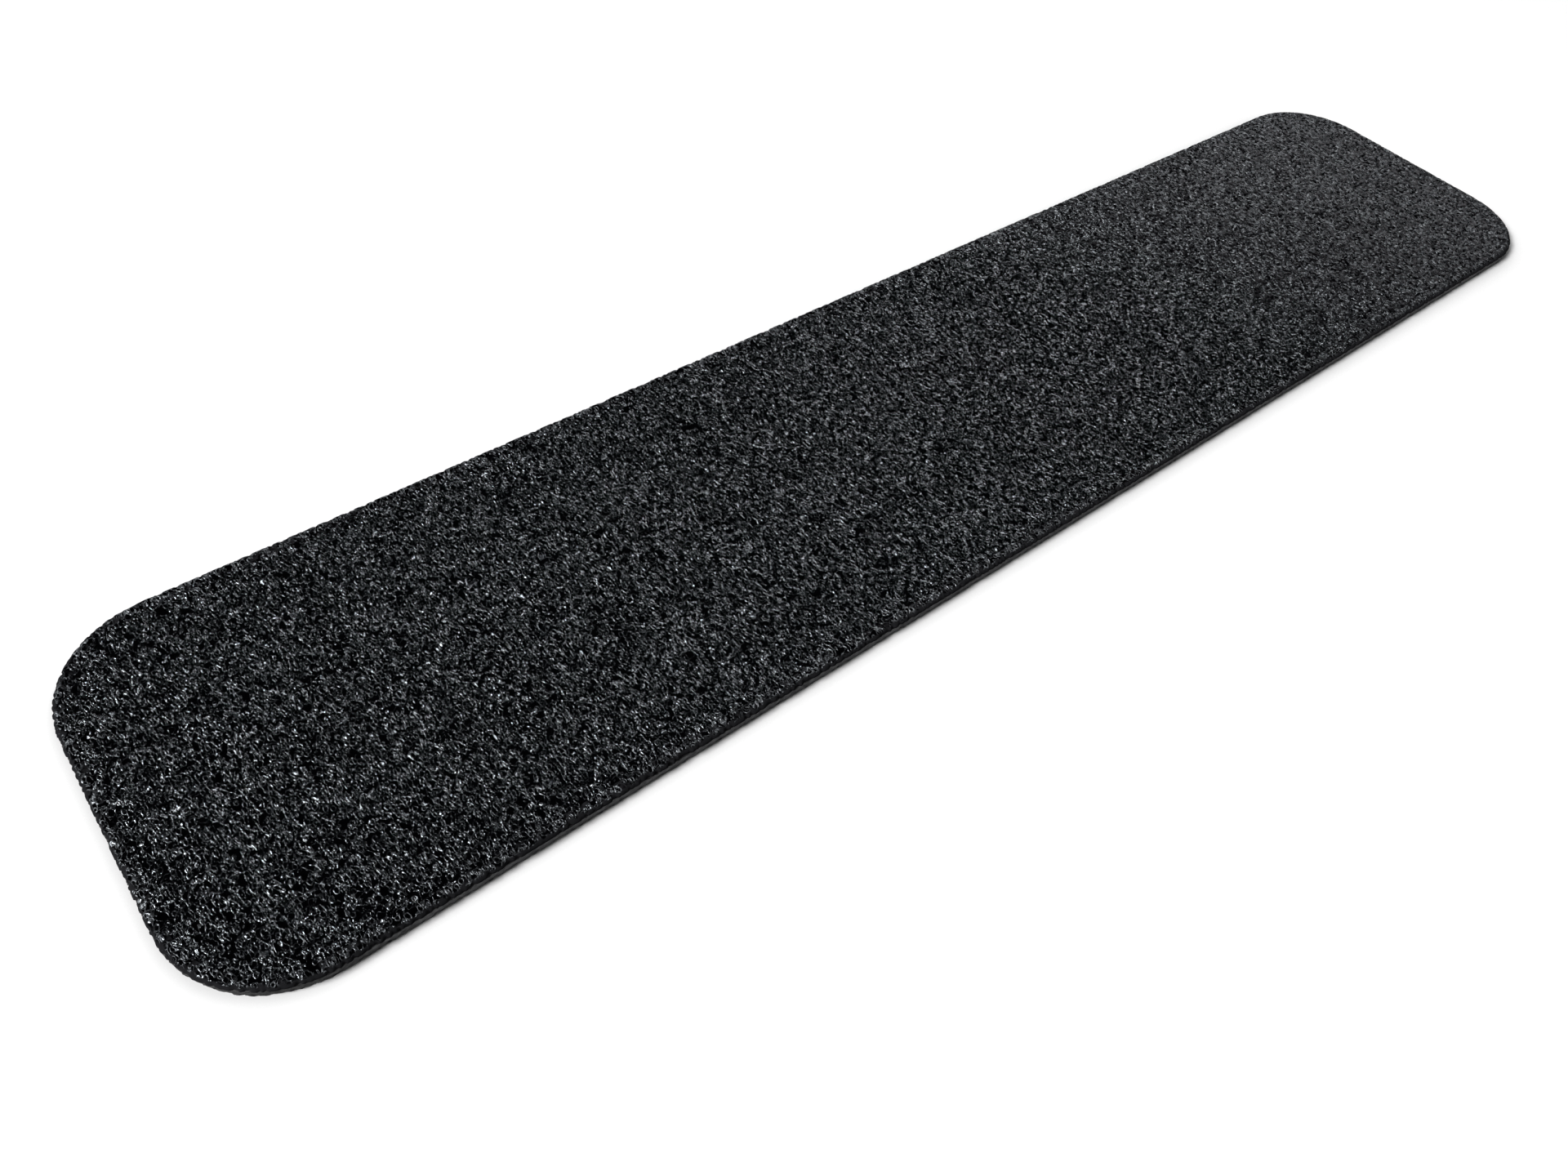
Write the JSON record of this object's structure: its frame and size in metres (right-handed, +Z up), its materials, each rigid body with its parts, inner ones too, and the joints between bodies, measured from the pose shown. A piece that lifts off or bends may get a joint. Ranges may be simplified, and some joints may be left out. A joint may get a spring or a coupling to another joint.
{
  "type": "anti-slip step grip",
  "caption": "Flat black anti-slip strip for a step: a thin rubber backing with round corners, under a coarse, glossy grit coat with a rounded rim.",
  "frame": {"origin": "middle of the underside, on the surface that the strip lies on", "axes": "+X along the strip's length, +Y across its width, +Z up out of the grit"},
  "size_m": [0.45, 0.1, 0.0034],
  "materials": {
    "backing_rubber": "matte dark grey rubber, smooth cut edge",
    "grit_coat": "coarse mineral grit set in glossy black resin"
  },
  "bodies": {
    "root": {"backing": "backing_rubber", "grit_coat": "grit_coat"}
  },
  "joints": []
}
